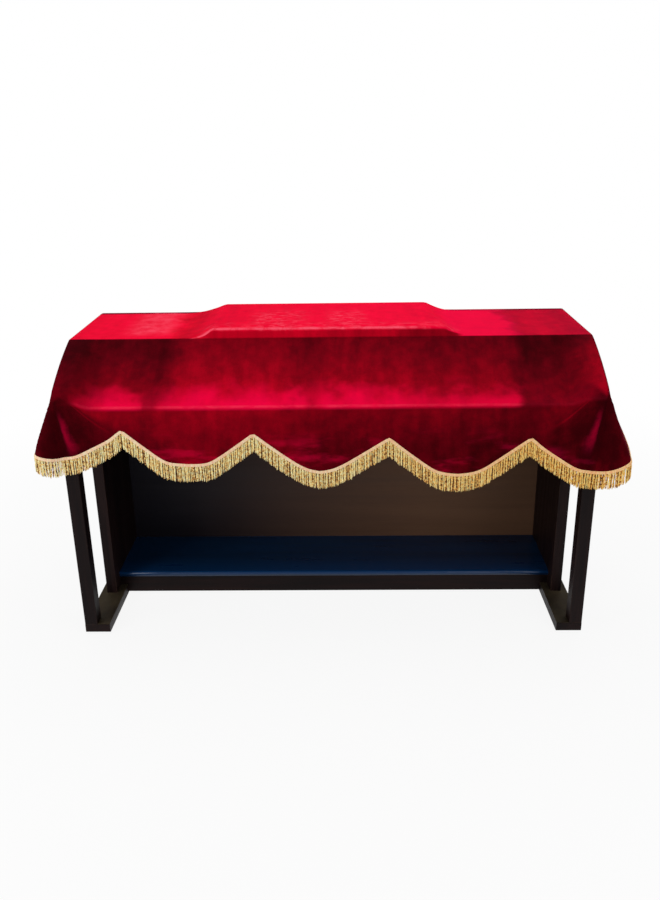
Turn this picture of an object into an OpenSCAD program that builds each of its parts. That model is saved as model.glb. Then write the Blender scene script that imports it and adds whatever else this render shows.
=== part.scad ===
// Communion table with a sloped front, a low riser, a storage shelf and a fitted velvet cloth.
// Origin: middle of the footprint on the floor. Front is -Y, up is +Z. All sizes in millimetres.

/* [Overall] */
// Width over the outer faces of the legs
table_w = 1500; // [1300:10:1700]
// Depth from the ledge nose to the back edge of the deck
table_d = 564; // [548:2:620]
// Height of the deck board's top face
deck_h = 866; // [846:1:900]
// Height of the front ledge's top face
ledge_h = 722; // [700:1:734]

/* [End frames] */
// Width of a front leg, seen from the front
leg_w = 38; // [32:1:44]
// Depth of a front leg
leg_d = 42; // [36:1:48]
// How far the ledge nose stands forward of the legs
nose_out = 15; // [8:1:20]
// Width of a floor runner
runner_w = 75; // [64:1:90]
// Height of a floor runner
runner_h = 28; // [22:1:34]
// Thickness of a rear side panel
panel_t = 32; // [26:1:34]
// How far a side panel sits in from the outer face of the leg
panel_in = 20; // [12:1:24]
// Height of the underside of the cheeks and the apron
cheek_h = 612; // [600:1:630]
// Downward angle of the cheek's top edge
cheek_slope = 26; // [22:1:27]
// Radius of the cheek's rounded nose
cheek_nose_r = 26; // [18:1:30]
// Radius of the long crown along the cheek's top edge
cheek_crown_r = 950; // [800:10:2000]
// Rise of the arch between the leg and the side panel
arch_rise = 28; // [12:1:40]

/* [Boards] */
// Thickness of the deck, ledge and rails
board_t = 22; // [18:1:24]
// Thickness of the sloping board
slope_t = 15; // [12:1:18]
// Flat depth of the ledge in front of the slope
ledge_flat = 60; // [50:1:70]
// Depth from the ledge nose to the front edge of the deck
deck_set = 202; // [190:1:210]
// Thickness of the back panel
back_t = 9; // [6:0.5:12]
// Set-back of the back panel from the deck's back edge
back_set = 60; // [56:1:80]

/* [Shelf] */
// Height of the shelf's top face
shelf_h = 80; // [70:1:100]
// Thickness of the shelf board
shelf_t = 19; // [16:1:22]
// Set-back of the shelf rail from the ledge nose
shelf_set = 256; // [236:1:276]
// How far the shelf's rounded front stands out from its rail
shelf_nose = 8; // [4:1:12]
// Clearance under the shelf's front rail
toe_gap = 6; // [4:1:14]

/* [Riser] */
// Width of the riser
riser_w = 640; // [560:10:760]
// Depth of the riser
riser_d = 310; // [290:2:312]
// Height of the riser above the deck
riser_h = 30; // [24:1:40]
// How far the riser stands right of the middle (negative is left)
riser_shift = -17; // [-30:1:30]
// Thickness of the riser's top board
riser_t = 15; // [12:1:18]

/* [Velvet cloth] */
// Thickness of the lined velvet
cloth_t = 3; // [2:0.5:4]
// Drop of the front scallops below the ledge
front_drop = 176; // [150:1:200]
// Drop at the corners, the ends and the back
end_drop = 190; // [160:1:200]
// Number of scallops along the front, and along the back
scallops = 4; // [3:1:6]
// Depth of a front or back scallop
scallop_depth = 97; // [60:1:110]
// Depth of a scallop at the ends
end_scallop_depth = 72; // [40:1:80]
// Outward lean of the cloth at the ends
end_flare = 27; // [15:1:32]
// Height of the woven heading above the fringe
heading_h = 8; // [6:1:14]
// Length of the hanging fringe below its heading
fringe_len = 50; // [30:1:60]

/* [Hidden] */

$fn = 32;
small_fn = 16;                            // facets round dowels, bolts, nuts and their bores
cut = 1;                                  // overrun of a cutting solid past a face

// Places along the depth and across the width
half_w = table_w / 2;
nose_y = -table_d / 2;
back_y = table_d / 2;
leg_y = nose_y + nose_out;
deck_y = nose_y + deck_set;
slope_foot_y = nose_y + ledge_flat;
leg_in = half_w - leg_w;                  // inner face of legs and cheeks
panel_out = half_w - panel_in;            // outer face of a side panel
panel_inner = panel_out - panel_t;        // inner face of a side panel
deck_overhang = 6;                        // the deck past the back edge of the side panels
panel_back_y = back_y - deck_overhang;
back_panel_y = back_y - back_set;         // front face of the back panel
back_rail_y = back_panel_y + back_t;
back_rail_t = 22;
shelf_rail_y = nose_y + shelf_set;        // front face of the shelf's rail

// Heights
glide_h = 4;
glide_r = 15;
glide_bevel = 2;
glide_in = 45;                            // a glide's middle from the end of its runner
runner_top = glide_h + runner_h;
ledge_under = ledge_h - board_t;
deck_under = deck_h - board_t;
shelf_under = shelf_h - shelf_t;
ease = 3;                                 // radius of an eased board edge

// Joints of the end frames
leg_ease = 2;
tenon_x = 22;
tenon_y = 26;
tenon_foot = 20;
tenon_head = 24;
tongue_t = 12;
tongue_h = 10;
tongue_stop = 20;                         // where a stopped tongue ends short of its board
groove_d = 8;
groove_fit = 0.1;

// Apron, ledge and bearers
apron_y = leg_y + 5;
ledge_back_y = slope_foot_y + board_t;
ledge_tongue_t = 10;
ledge_tongue_back = 6;                    // its end from the ledge's back edge
ledge_bearer_h = 60;
rail_tenon_t = 12;
rail_tenon_len = 12;
tenon_shoulder = 10;
apron_tenon_len = 20;
apron_tenon_z = cheek_h + tenon_head + 12;
bearer_h = 70;
slope_angle = atan2(deck_h - ledge_h, deck_y - slope_foot_y);
cleat_w = 20;

// Back frame and shelf frame
bottom_rail_top = shelf_h + 50;
muntin_w = 70;
muntin_in = 4;                            // the muntin's face behind the rails' faces
shelf_bearer_w = 22;
shelf_bearer_h = 40;

// Cheek outline
nose_slope = cheek_slope + asin((deck_y - nose_y) / 2 / cos(cheek_slope) / cheek_crown_r);
nose_top_y = nose_y + cheek_nose_r * (1 - sin(nose_slope));
nose_top_z = deck_h - tan(cheek_slope) * (deck_y - nose_top_y);
nose_c = [nose_y + cheek_nose_r, nose_top_z - cheek_nose_r * cos(nose_slope)];
crown_chord = norm([deck_y - nose_top_y, deck_h - nose_top_z]);
crown_drop = sqrt(cheek_crown_r * cheek_crown_r - crown_chord * crown_chord / 4);
crown_c = [
    (deck_y + nose_top_y) / 2 + sin(cheek_slope) * crown_drop,
    (deck_h + nose_top_z) / 2 - cos(cheek_slope) * crown_drop
];
cove_r = nose_out;
arch_span = deck_y - leg_y - leg_d;
arch_r = (arch_span * arch_span / 4 + arch_rise * arch_rise) / (2 * arch_rise);
arch_c = [deck_y - arch_span / 2, cheek_h + arch_rise - arch_r];
arch_half = asin(arch_span / 2 / arch_r);

// Fasteners
bolt_d = 6;
bolt_reach = 48;                          // how far a bolt goes into a rail
bolt_head_d = 14;
bolt_head_h = 4;
nut_d = 10;
nut_len = 16;
nut_reach = 40;                           // depth of the barrel nut's axis from the rail's end
dowel_d = 10;
dowel_len = 40;
dowel_spots = [cheek_h + 66, deck_under - 60];
// One bolt at each end of a rail, in the middle of its thickness and height: [y, z]
bolt_spots = [
    [deck_y + board_t / 2, deck_under - bearer_h / 2],
    [back_rail_y + back_rail_t / 2, deck_under - bearer_h / 2],
    [back_rail_y + back_rail_t / 2, (runner_top + bottom_rail_top) / 2],
    [shelf_rail_y + board_t / 2, (runner_top + shelf_under) / 2]
];

// Riser
riser_back = 258;                         // its back edge behind the table's middle
riser_y = riser_back - riser_d;
batten_w = 40;
batten_in = 8;                            // how far the battens stand in from the board's edge

// Cloth
gap = 1;                                  // air between the cloth and the wood
hem_steps = 10;                           // stations in one front scallop
corner_steps = 4;                         // stations round a corner
end_scallops = 2;
front_lean = 6;                           // outward lean of the front where it reaches a corner
tent = 60;                                // width of the cloth's fall from the riser's ends
dip = 56;                                 // width of its fall from a cheek to the ledge
nose_guard_z = nose_c[1] + cheek_nose_r * tan(22.5);
nose_guard_y = nose_y + cheek_nose_r * (1 - sin(45)) + 3.2;
crown_guard = 1.2;                        // more than the crown's sag between two rows
cheek_guard = 6;                          // the cloth is up on a cheek this far before its inner face
riser_guard = 4;                          // and up on the riser this far before its front

// ---------- shared shapes ----------

// Extrude a side-view outline (Y, Z) across the width from x0 to x1
module across(x0, x1) {
    translate([x0, 0, 0])
        rotate([90, 0, 90])
            linear_extrude(x1 - x0)
                children();
}

// Box between two opposite corners
module block(low, high) {
    translate(low)
        cube(high - low);
}

// Rectangle with eased corners
module eased_rect(low, high, r) {
    for (x = [low[0] + r, high[0] - r], y = [low[1] + r, high[1] - r])
        translate([x, y])
            circle(r);
    translate([low[0] + r, low[1]])
        square([high[0] - low[0] - 2 * r, high[1] - low[1]]);
    translate([low[0], low[1] + r])
        square([high[0] - low[0], high[1] - low[1] - 2 * r]);
}

// Copy a right-hand piece to the left
module other_hand() {
    mirror([1, 0, 0])
        children();
}

module both_hands() {
    children();
    other_hand()
        children();
}

// Bore along X through the end of the right-hand frame, at a side-view place
module bore_x(spot, x0, x1, d) {
    translate([x0, spot[0], spot[1]])
        rotate([0, 90, 0])
            cylinder(d = d, h = x1 - x0, $fn = small_fn);
}

// Round solid along +Y from a place
module bore_y(place, length, d) {
    translate(place)
        rotate([-90, 0, 0])
            cylinder(d = d, h = length, $fn = small_fn);
}

// Holes at both ends of a rail: one for the connector bolt, and a blind one for its barrel nut, drilled
// from the rail's back face so that nothing shows in front
module rail_bores(spot, rail_t) {
    both_hands() {
        bore_x(spot, panel_inner - bolt_reach - 2, panel_inner + cut, bolt_d);
        bore_y([panel_inner - nut_reach, spot[0] - nut_len / 2, spot[1]],
               (nut_len + rail_t) / 2 + cut, nut_d);
    }
}

// ---------- end frames ----------

module runner_right() {
    color([0.07, 0.055, 0.05])
    difference() {
        across(half_w - runner_w, half_w)
            eased_rect([leg_y, glide_h], [back_y, runner_top], ease);
        leg_tenon(runner_top - tenon_foot, runner_top + cut);
        panel_tongue(runner_top - tongue_h, runner_top + cut);
    }
}

module left_runner() {
    other_hand()
        runner_right();
}

module right_runner() {
    runner_right();
}

// Stub tenon on the leg's centre line between two heights
module leg_tenon(z0, z1) {
    mid_x = half_w - leg_w / 2;
    mid_y = leg_y + leg_d / 2;
    block([mid_x - tenon_x / 2, mid_y - tenon_y / 2, z0], [mid_x + tenon_x / 2, mid_y + tenon_y / 2, z1]);
}

module front_leg_right() {
    color([0.05, 0.042, 0.04]) {
        translate([0, 0, runner_top])
            linear_extrude(cheek_h - runner_top)
                eased_rect([leg_in, leg_y], [half_w, leg_y + leg_d], leg_ease);
        leg_tenon(runner_top - tenon_foot, cheek_h + tenon_head);
    }
}

module left_front_leg() {
    other_hand()
        front_leg_right();
}

module right_front_leg() {
    front_leg_right();
}

// Tongue along the foot of a side panel
module panel_tongue(z0, z1) {
    mid_x = (panel_inner + panel_out) / 2;
    block([mid_x - tongue_t / 2, deck_y + tongue_stop, z0],
          [mid_x + tongue_t / 2, panel_back_y - tongue_stop, z1]);
}

// Dowels between a cheek and its side panel
module dowel_pair() {
    for (z = dowel_spots)
        bore_y([(leg_in + panel_out) / 2, deck_y - dowel_len / 2, z], dowel_len, dowel_d);
}

module side_panel_right() {
    color([0.06, 0.05, 0.045])
    difference() {
        union() {
            block([panel_inner, deck_y, runner_top], [panel_out, panel_back_y, deck_under]);
            panel_tongue(runner_top - tongue_h, runner_top + cut);
        }
        block([panel_inner - cut, back_panel_y - groove_fit, runner_top - cut],
              [panel_inner + groove_d, back_rail_y + groove_fit, deck_under + cut]);
        dowel_pair();
        for (spot = bolt_spots) {
            bore_x(spot, panel_inner - cut, panel_out + cut, bolt_d);
            bore_x(spot, panel_out - bolt_head_h, panel_out + cut, bolt_head_d);
        }
    }
}

module left_side_panel() {
    other_hand()
        side_panel_right();
}

module right_side_panel() {
    side_panel_right();
}

function angle_at(c, p) = atan2(p[1] - c[1], p[0] - c[0]);

// Points along an arc in the side view, from one angle to another
function arc(c, r, from, to, steps = 8) = [
    for (i = [0 : steps]) let (a = from + (to - from) * i / steps) c + r * [cos(a), sin(a)]
];

// Side view of a cheek: cove under the round nose, crowned raking top and arched foot
module cheek_outline() {
    polygon(concat(
        [[leg_y, cheek_h]],
        arc([nose_y, ledge_under - cove_r], cove_r, 0, 90),
        arc(nose_c, cheek_nose_r, 180, 90 + nose_slope, 12),
        arc(crown_c, cheek_crown_r, angle_at(crown_c, [nose_top_y, nose_top_z]),
            angle_at(crown_c, [deck_y, deck_h])),
        arc(arch_c, arch_r, 90 - arch_half, 90 + arch_half, 16)
    ));
}

// Tenon at the right-hand end of a rail, reaching past the cheek's inner face
module rail_tenon(y_mid, z0, z1, reach) {
    block([leg_in - cut, y_mid - rail_tenon_t / 2, z0], [leg_in + reach, y_mid + rail_tenon_t / 2, z1]);
}

// Stopped tongue at the right-hand end of the ledge board
module ledge_tongue() {
    z_mid = ledge_h - board_t / 2;
    block([leg_in - cut, nose_y + tongue_stop, z_mid - ledge_tongue_t / 2],
          [leg_in + groove_d, ledge_back_y - ledge_tongue_back, z_mid + ledge_tongue_t / 2]);
}

module apron_tenon() {
    rail_tenon(apron_y + board_t / 2, apron_tenon_z, ledge_under - tenon_shoulder, apron_tenon_len);
}

module bearer_tenon() {
    rail_tenon(slope_foot_y + board_t / 2, ledge_under - ledge_bearer_h + tenon_shoulder,
               ledge_under - tenon_shoulder, rail_tenon_len);
}

module cheek_right() {
    color([0.05, 0.042, 0.04])
    difference() {
        across(leg_in, half_w)
            cheek_outline();
        leg_tenon(cheek_h - cut, cheek_h + tenon_head);
        apron_tenon();
        bearer_tenon();
        ledge_tongue();
        dowel_pair();
    }
}

module left_cheek() {
    other_hand()
        cheek_right();
}

module right_cheek() {
    cheek_right();
}

// Turned glide with a bevelled foot, near each end of both runners
module floor_glides() {
    color([0.16, 0.15, 0.14])
    both_hands()
        for (y = [leg_y + glide_in, back_y - glide_in])
            translate([half_w - runner_w / 2, y, 0])
                rotate_extrude()
                    polygon([
                        [0, 0],
                        [glide_r - glide_bevel, 0],
                        [glide_r, glide_bevel],
                        [glide_r, glide_h],
                        [0, glide_h]
                    ]);
}

module cheek_dowels() {
    color([0.72, 0.55, 0.35])
    both_hands()
        dowel_pair();
}

// ---------- front: apron, ledge and slope ----------

module front_apron() {
    color([0.06, 0.05, 0.045]) {
        across(-leg_in, leg_in)
            eased_rect([apron_y, cheek_h], [apron_y + board_t, ledge_under], leg_ease);
        both_hands()
            apron_tenon();
    }
}

// Ledge with a half-round nose
module ledge_board() {
    color([0.06, 0.05, 0.045]) {
        across(-leg_in, leg_in) {
            translate([nose_y + board_t / 2, ledge_h - board_t / 2])
                circle(board_t / 2);
            translate([nose_y + board_t / 2, ledge_under])
                square([ledge_back_y - nose_y - board_t / 2, board_t]);
        }
        both_hands()
            ledge_tongue();
    }
}

module ledge_bearer() {
    color([0.07, 0.055, 0.05]) {
        across(-leg_in, leg_in)
            translate([slope_foot_y, ledge_under - ledge_bearer_h])
                square([board_t, ledge_bearer_h]);
        both_hands()
            bearer_tenon();
    }
}

// Sloping board, cut level where it stands on the ledge and plumb where it meets the deck
module slope_board() {
    color([0.06, 0.05, 0.045])
    across(-leg_in, leg_in)
        polygon([
            [slope_foot_y, ledge_h],
            [deck_y, deck_h],
            [deck_y, deck_h - slope_t / cos(slope_angle)],
            [slope_foot_y + slope_t / sin(slope_angle), ledge_h]
        ]);
}

// Cleats screwed inside the cheeks to carry the slope's ends
module slope_cleats() {
    low = slope_foot_y + slope_t / sin(slope_angle) + cleat_w;
    high = deck_y - cleat_w / 2;
    color([0.3, 0.22, 0.15])
    both_hands()
        across(leg_in - cleat_w, leg_in)
            polygon([
                [low, slope_under(low)],
                [high, slope_under(high)],
                [high, slope_under(high) - cleat_w / cos(slope_angle)],
                [low, slope_under(low) - cleat_w / cos(slope_angle)]
            ]);
}

// Height of the slope board's underside at a given depth
function slope_under(y) = deck_h - slope_t / cos(slope_angle) - (deck_y - y) * tan(slope_angle);

// ---------- deck ----------

module deck_board() {
    color([0.06, 0.05, 0.045])
    across(-half_w, half_w)
        difference() {
            eased_rect([deck_y - ease, deck_under], [back_y, deck_h], ease);
            translate([deck_y - 2 * ease, deck_under - cut])
                square([2 * ease, board_t + 2 * cut]);
        }
}

module deck_front_bearer() {
    color([0.07, 0.055, 0.05])
    difference() {
        block([-panel_inner, deck_y, deck_under - bearer_h], [panel_inner, deck_y + board_t, deck_under]);
        rail_bores(bolt_spots[0], board_t);
    }
}

// Glued blocks that stiffen the corner between the deck and each side panel
module corner_blocks() {
    leg = 55;
    toe = 8;
    long = 30;
    first = deck_y + board_t + 55;
    last = back_panel_y - 55;
    color([0.3, 0.22, 0.15])
    both_hands()
        for (y = [first, (first + last) / 2, last])
            translate([panel_inner, y + long / 2, deck_under])
                rotate([90, 0, 0])
                    linear_extrude(long)
                        polygon([[0, 0], [-leg, 0], [-leg, -toe], [-toe, -leg], [0, -leg]]);
}

// ---------- back ----------

module back_panel() {
    color([0.2, 0.14, 0.11])
    block([-panel_inner - groove_d, back_panel_y, runner_top],
          [panel_inner + groove_d, back_rail_y, deck_under]);
}

module back_top_rail() {
    color([0.07, 0.055, 0.05])
    difference() {
        block([-panel_inner, back_rail_y, deck_under - bearer_h],
              [panel_inner, back_rail_y + back_rail_t, deck_under]);
        rail_bores(bolt_spots[1], back_rail_t);
    }
}

module back_bottom_rail() {
    color([0.07, 0.055, 0.05])
    difference() {
        block([-panel_inner, back_rail_y, runner_top],
              [panel_inner, back_rail_y + back_rail_t, bottom_rail_top]);
        rail_bores(bolt_spots[2], back_rail_t);
    }
}

module back_muntin() {
    color([0.07, 0.055, 0.05])
    across(-muntin_w / 2, muntin_w / 2)
        translate([back_rail_y, bottom_rail_top])
            square([back_rail_t - muntin_in, deck_under - bearer_h - bottom_rail_top]);
}

// ---------- shelf ----------

module shelf_board() {
    front = shelf_rail_y - shelf_nose;
    color([0.03, 0.05, 0.08])
    across(-panel_inner, panel_inner) {
        translate([front + shelf_t / 2, shelf_h - shelf_t / 2])
            circle(shelf_t / 2);
        translate([front + shelf_t / 2, shelf_under])
            square([back_panel_y - front - shelf_t / 2, shelf_t]);
    }
}

// Front rail, notched over the runners
module shelf_front_rail() {
    color([0.04, 0.04, 0.045])
    difference() {
        block([-panel_inner, shelf_rail_y, toe_gap], [panel_inner, shelf_rail_y + board_t, shelf_under]);
        rail_bores(bolt_spots[3], board_t);
        both_hands()
            block([half_w - runner_w, shelf_rail_y - cut, -cut],
                  [half_w, shelf_rail_y + board_t + cut, runner_top]);
    }
}

// Cross bearers between the front rail and the back panel
module shelf_bearers() {
    color([0.3, 0.22, 0.15])
    for (x = [-table_w / 4, 0, table_w / 4])
        block([x - shelf_bearer_w / 2, shelf_rail_y + board_t, shelf_under - shelf_bearer_h],
              [x + shelf_bearer_w / 2, back_panel_y, shelf_under]);
}

module shelf_end_cleats() {
    color([0.3, 0.22, 0.15])
    both_hands()
        block([panel_inner - cleat_w, shelf_rail_y + board_t, shelf_under - shelf_bearer_w],
              [panel_inner, back_panel_y, shelf_under]);
}

// ---------- riser ----------

module riser_board() {
    color([0.06, 0.05, 0.045])
    across(riser_shift - riser_w / 2, riser_shift + riser_w / 2)
        eased_rect([riser_y, deck_h + riser_h - riser_t], [riser_back, deck_h + riser_h], ease);
}

// Two long and two short battens that hold the riser's board off the deck
module riser_battens() {
    top = deck_h + riser_h - riser_t;
    x = riser_w / 2 - batten_in;
    front = riser_y + batten_in;
    back = riser_back - batten_in;
    color([0.3, 0.22, 0.15])
    translate([riser_shift, 0, 0]) {
        for (y = [front, back - batten_w])
            block([-x, y, deck_h], [x, y + batten_w, top]);
        both_hands()
            block([x - batten_w, front + batten_w, deck_h], [x, back - batten_w, top]);
    }
}

// ---------- fasteners ----------

// Connector bolts through the side panels into the four long rails
module connector_bolts() {
    head_under = panel_out - bolt_head_h;
    sunk = 0.5;
    color("goldenrod")
    both_hands()
        for (spot = bolt_spots) {
            bore_x(spot, head_under, panel_out - sunk, bolt_head_d);
            bore_x(spot, panel_inner - bolt_reach, head_under + sunk, bolt_d);
        }
}

module barrel_nuts() {
    color("silver")
    both_hands()
        for (spot = bolt_spots)
            difference() {
                bore_y([panel_inner - nut_reach, spot[0] - nut_len / 2, spot[1]], nut_len, nut_d);
                bore_x(spot, panel_inner - nut_reach - nut_d, panel_inner, bolt_d);
            }
}

// ---------- velvet cloth ----------

function blend(a, b, k) = a * (1 - k) + b * k;

// Rows run front to back. The wood under the cloth has one height per row at mid-width, where the
// riser adds its share, and another over the cheeks.
deck_rows = 9;
row_y = concat(
    [nose_y, nose_guard_y, slope_foot_y],
    [for (k = [1 : 3]) blend(slope_foot_y, deck_y, k / 3)],
    [riser_y - riser_guard],
    [for (k = [1 : deck_rows]) blend(riser_y - riser_guard, riser_back, k / deck_rows)],
    [back_y]
);
last_row = len(row_y) - 1;

middle_slope = [[nose_y, ledge_h], [slope_foot_y, ledge_h], [deck_y, deck_h]];
on_riser = [[deck_y, 0], [riser_y - riser_guard, 1], [riser_back, 1], [back_y, 0]];
function middle_z(y, rise) = lookup(y, middle_slope) + rise * lookup(y, on_riser);

function crown_z(y) = crown_c[1] + sqrt(pow(cheek_crown_r + crown_guard, 2) - pow(y - crown_c[0], 2));
function cheek_z(y) = y <= nose_y ? nose_guard_z : y < deck_y ? crown_z(y) : deck_h;

// Columns run left to right, one at each front station
columns = scallops * hem_steps;
column_w = table_w / columns;
column_x = [for (i = [0 : columns]) i * column_w - half_w];

riser_end = riser_w / 2 + column_w;
cheek_end = leg_in - cheek_guard - column_w;
function riser_share(x) = lookup(abs(x - riser_shift), [[riser_end, 1], [riser_end + tent, 0]]);
function cheek_share(x) = lookup(abs(x), [[cheek_end - dip, 0], [cheek_end, 1]]);
function wood_line(x) = [
    for (y = row_y)
        [y, blend(middle_z(y, riser_h * riser_share(x)), cheek_z(y), cheek_share(x))]
];

// Mitred offset of an open line towards its left side, as if both ends turned straight down
function line_normal(p, q) = let (d = (q - p) / norm(q - p)) [-d[1], d[0]];
function offset_line(pts, k) = [
    for (i = [0 : len(pts) - 1])
        let (
            before = i == 0 ? pts[i] - [0, 1] : pts[i - 1],
            after = i == len(pts) - 1 ? pts[i] - [0, 1] : pts[i + 1],
            n0 = line_normal(before, pts[i]),
            n1 = line_normal(pts[i], after)
        )
        pts[i] + (n0 + n1) * k / (1 + n0 * n1)
];

// Face of the laid cloth at a distance from the wood, column by column
function laid_face(off) = [
    for (x = column_x)
        let (side = abs(x) > half_w - 1 ? sign(x) * off : 0)
        for (p = offset_line(wood_line(x), off)) [x + side, p[0], p[1]]
];
outer_face = laid_face(gap + cloth_t);
inner_face = laid_face(gap);

// Pointed-cusp scallop: 0 at the lowest point, 1 at a cusp, for a run counted in scallops
function cusp(run) = pow(2 * abs(run - round(run)), 1.5);
function front_cusp(i) = scallop_depth * cusp(i / hem_steps);
function end_cusp(j) = end_scallop_depth * cusp((row_y[j] - nose_y) / table_d * end_scallops);
function long_lean(i) = front_lean * lookup(abs(column_x[i]), [[half_w * 0.75, 0], [half_w, 1]]);
function long_drop(i) = blend(front_drop, end_drop, cheek_share(column_x[i]));

// Stations round the hem, counter-clockwise from the front left corner:
// [column, row, outward angle, outward lean, drop]
function corner(i, j, turn, lean0, lean1) = [
    for (k = [1 : corner_steps - 1])
        let (share = k / corner_steps)
        [i, j, turn + 90 * share, blend(lean0, lean1, share), end_drop]
];
hem = concat(
    [for (i = [0 : columns]) [i, 0, -90, long_lean(i), long_drop(i) - front_cusp(i)]],
    corner(columns, 0, -90, front_lean, end_flare),
    [for (j = [0 : last_row]) [columns, j, 0, end_flare, end_drop - end_cusp(j)]],
    corner(columns, last_row, 0, end_flare, front_lean),
    [for (i = [columns : -1 : 0]) [i, last_row, 90, long_lean(i), end_drop - front_cusp(i)]],
    corner(0, last_row, 90, front_lean, end_flare),
    [for (j = [last_row : -1 : 0]) [0, j, 180, end_flare, end_drop - end_cusp(j)]],
    corner(0, 0, 180, end_flare, front_lean)
);
stations = len(hem);

function grid_index(i, j) = i * (last_row + 1) + j;

// Where a face hangs at a station: below its edge by the drop and more along the lean, then plumb
function hung(s, face, along, plumb) = let (
        len = s[4] + along,
        out = len * sin(s[3])
    )
    face[grid_index(s[0], s[1])] + [out * cos(s[2]), out * sin(s[2]), -len * cos(s[3]) - plumb];

// One closed skin: the laid top, the four drops with their rounded corners, and the lining side
module velvet_cloth() {
    grid = len(outer_face);
    outer_hem = 2 * grid;
    inner_hem = outer_hem + stations;
    top = [
        for (i = [0 : columns - 1], j = [0 : last_row - 1])
            let (a = grid_index(i, j), b = grid_index(i + 1, j))
            each [
                [a, a + 1, b + 1],
                [a, b + 1, b],
                [grid + a, grid + b + 1, grid + a + 1],
                [grid + a, grid + b, grid + b + 1]
            ]
    ];
    drops = [
        for (k = [0 : stations - 1])
            let (
                n = (k + 1) % stations,
                a = grid_index(hem[k][0], hem[k][1]),
                b = grid_index(hem[n][0], hem[n][1])
            )
            each concat(
                a == b ? [] : [
                    [outer_hem + k, a, b],
                    [inner_hem + k, grid + b, grid + a]
                ],
                [
                    [outer_hem + k, b, outer_hem + n],
                    [inner_hem + k, inner_hem + n, grid + b],
                    [outer_hem + k, outer_hem + n, inner_hem + n],
                    [outer_hem + k, inner_hem + n, inner_hem + k]
                ]
            )
    ];
    color([0.55, 0.01, 0.07])
    polyhedron(
        concat(
            outer_face,
            inner_face,
            [for (s = hem) hung(s, outer_face, 0, 0)],
            [for (s = hem) hung(s, inner_face, 0, 0)]
        ),
        concat(top, drops),
        convexity = 10
    );
}

// Band round the whole hem between two levels, each [length along the lean, length plumb]. Its lower
// edge is split on the same diagonals as the upper edge of the band below, so that the two meet flush.
module hem_band(top, bottom) {
    loops = [
        for (s = hem) each [
            hung(s, outer_face, top[0], top[1]),
            hung(s, inner_face, top[0], top[1]),
            hung(s, inner_face, bottom[0], bottom[1]),
            hung(s, outer_face, bottom[0], bottom[1])
        ]
    ];
    skin = [
        for (k = [0 : stations - 1], j = [0 : 3])
            let (a = 4 * k, b = 4 * ((k + 1) % stations), n = (j + 1) % 4)
            each j == 2 ?
                [[a + j, a + n, b + j], [a + n, b + n, b + j]] :
                [[a + j, a + n, b + n], [a + j, b + n, b + j]]
    ];
    polyhedron(loops, skin, convexity = 10);
}

module fringe_heading() {
    color([0.86, 0.68, 0.4])
    hem_band([0, 0], [heading_h, 0]);
}

module fringe_skirt() {
    color([0.8, 0.62, 0.3])
    hem_band([heading_h, 0], [heading_h, fringe_len]);
}

left_runner();
right_runner();
left_front_leg();
right_front_leg();
left_side_panel();
right_side_panel();
left_cheek();
right_cheek();
floor_glides();
cheek_dowels();
front_apron();
ledge_board();
ledge_bearer();
slope_board();
slope_cleats();
deck_board();
deck_front_bearer();
corner_blocks();
back_panel();
back_top_rail();
back_bottom_rail();
back_muntin();
shelf_board();
shelf_front_rail();
shelf_bearers();
shelf_end_cleats();
riser_board();
riser_battens();
connector_bolts();
barrel_nuts();
velvet_cloth();
fringe_heading();
fringe_skirt();
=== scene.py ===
# Communion table under a fringed velvet cloth: the finishes, the cloth, its braid and its fringe.
import math
import time

import bpy
import numpy as np
from mathutils import Matrix, Vector, noise
from mathutils.geometry import delaunay_2d_cdt


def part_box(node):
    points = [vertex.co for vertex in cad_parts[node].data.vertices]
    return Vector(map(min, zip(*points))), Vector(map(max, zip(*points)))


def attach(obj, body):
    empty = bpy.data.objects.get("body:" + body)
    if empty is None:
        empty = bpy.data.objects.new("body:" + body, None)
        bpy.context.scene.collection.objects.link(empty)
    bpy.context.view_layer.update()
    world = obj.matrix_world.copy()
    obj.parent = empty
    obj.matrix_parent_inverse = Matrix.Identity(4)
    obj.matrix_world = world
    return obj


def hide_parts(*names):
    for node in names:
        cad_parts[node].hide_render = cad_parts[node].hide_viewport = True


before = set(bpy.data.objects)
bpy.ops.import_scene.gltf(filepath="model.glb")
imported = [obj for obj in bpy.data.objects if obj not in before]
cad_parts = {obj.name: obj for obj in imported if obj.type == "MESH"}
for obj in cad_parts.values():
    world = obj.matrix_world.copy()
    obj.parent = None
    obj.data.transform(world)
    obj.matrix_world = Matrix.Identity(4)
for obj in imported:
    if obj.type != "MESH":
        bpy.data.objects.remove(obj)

startedAt = time.time()
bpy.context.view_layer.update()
scene = bpy.context.scene


def report(text):
    print(f"[{time.time() - startedAt:5.1f} s] {text}")


# camera

cameraSetup = {
    "place": (0.0494, -2.5027, 1.4544),
    "lens": 34.41,
    "lookDown": 21.06,   # degrees below the horizon
    "turn": 1.22,        # degrees to the left
    "roll": -0.86,
}


def makeCamera(setup):
    camera = bpy.data.objects.new("camera", bpy.data.cameras.new("camera"))
    camera.data.sensor_width = 36
    camera.data.lens = setup["lens"]
    turn = Matrix.Rotation(math.radians(setup["turn"]), 4, "Z")
    tilt = Matrix.Rotation(math.radians(90 - setup["lookDown"]), 4, "X")
    roll = Matrix.Rotation(math.radians(setup["roll"]), 4, "Z")
    camera.matrix_world = Matrix.Translation(setup["place"]) @ turn @ tilt @ roll
    scene.collection.objects.link(camera)
    scene.camera = camera


makeCamera(cameraSetup)


# sizes taken from the CAD

def edges(node):
    low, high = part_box(node)
    return {"left": low.x, "right": high.x, "front": low.y, "back": high.y, "top": high.z}


deck = edges("deck_board")
riser = edges("riser_board")
ledge = edges("ledge_board")
cheek = edges("right_cheek")


# shader helpers

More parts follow.
